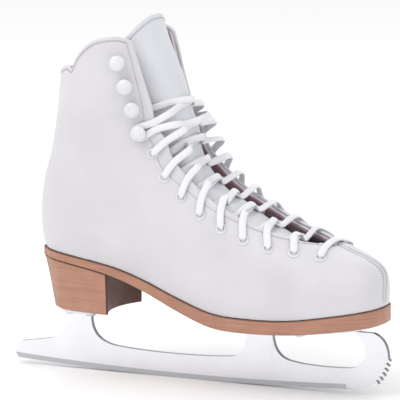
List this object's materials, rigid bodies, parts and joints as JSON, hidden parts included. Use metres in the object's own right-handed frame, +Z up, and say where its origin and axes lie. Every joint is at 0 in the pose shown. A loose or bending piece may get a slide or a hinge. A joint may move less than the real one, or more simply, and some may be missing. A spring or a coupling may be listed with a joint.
{
  "type": "ice skate",
  "caption": "White lace-up figure skate: tall leather boot with hooks and eyelets, padded tongue, raised heel, and a plated steel blade with a toe pick.",
  "frame": {"origin": "on the ice, at the bottom centre of the skate's overall box", "axes": "+X runs from heel to toe, +Y to the wearer's left, +Z up from the ice"},
  "size_m": [0.2906, 0.0964, 0.26],
  "materials": {
    "leather": "smooth, satin white",
    "lining": "soft mauve suede-like lining",
    "underlay": "unfinished white split leather",
    "board": "pressed fibre board",
    "foam": "dense felted foam",
    "stacked_sole": "tan, sealed, with fine layers",
    "blade_steel": "bright plate with a ground edge",
    "plate_steel": "bright plate",
    "screw_steel": "turned",
    "enamel": "white enamel, glossy",
    "lace": "white flat-braided cotton",
    "lace_tip": "clear-white plastic"
  },
  "bodies": {
    "boot": {"quarter_left": "leather", "quarter_right": "leather", "tongue": "leather", "lining": "lining", "facing_left": "underlay", "facing_right": "underlay", "heel_counter": "board", "toe_box": "board", "insole_board": "board", "ankle_pad_left": "foam", "ankle_pad_right": "foam", "tongue_padding": "foam", "footbed": "foam", "outsole": "stacked_sole", "heel_block": "stacked_sole", "blade": "blade_steel", "sole_plate": "plate_steel", "heel_plate": "plate_steel", "shank": "plate_steel", "sole_screw_1": "screw_steel", "sole_screw_2": "screw_steel", "sole_screw_3": "screw_steel", "sole_screw_4": "screw_steel", "sole_screw_5": "screw_steel", "heel_screw_1": "screw_steel", "heel_screw_2": "screw_steel", "heel_screw_3": "screw_steel", "heel_screw_4": "screw_steel", "eyelet_left_1": "enamel", "eyelet_left_2": "enamel", "eyelet_left_3": "enamel", "eyelet_left_4": "enamel", "eyelet_left_5": "enamel", "eyelet_left_6": "enamel", "eyelet_left_7": "enamel", "eyelet_left_8": "enamel", "eyelet_left_9": "enamel", "eyelet_right_1": "enamel", "eyelet_right_2": "enamel", "eyelet_right_3": "enamel", "eyelet_right_4": "enamel", "eyelet_right_5": "enamel", "eyelet_right_6": "enamel", "eyelet_right_7": "enamel", "eyelet_right_8": "enamel", "eyelet_right_9": "enamel", "hook_left_1": "enamel", "hook_left_2": "enamel", "hook_left_3": "enamel", "hook_left_4": "enamel", "hook_right_1": "enamel", "hook_right_2": "enamel", "hook_right_3": "enamel", "hook_right_4": "enamel", "lace": "lace", "lace_tip_a": "lace_tip", "lace_tip_b": "lace_tip"},
    "tongue_top": {"tongue_top": "leather", "tongue_top_padding": "foam"}
  },
  "joints": [
    {"name": "tongue_flex", "type": "hinge", "parent": "boot", "child": "tongue_top", "pos_m": [-0.01254, 0, 0.20025], "axis": [0, 1, 0], "range_deg": [-12, 4], "stiffness_Nm_per_rad": 0.3}
  ]
}
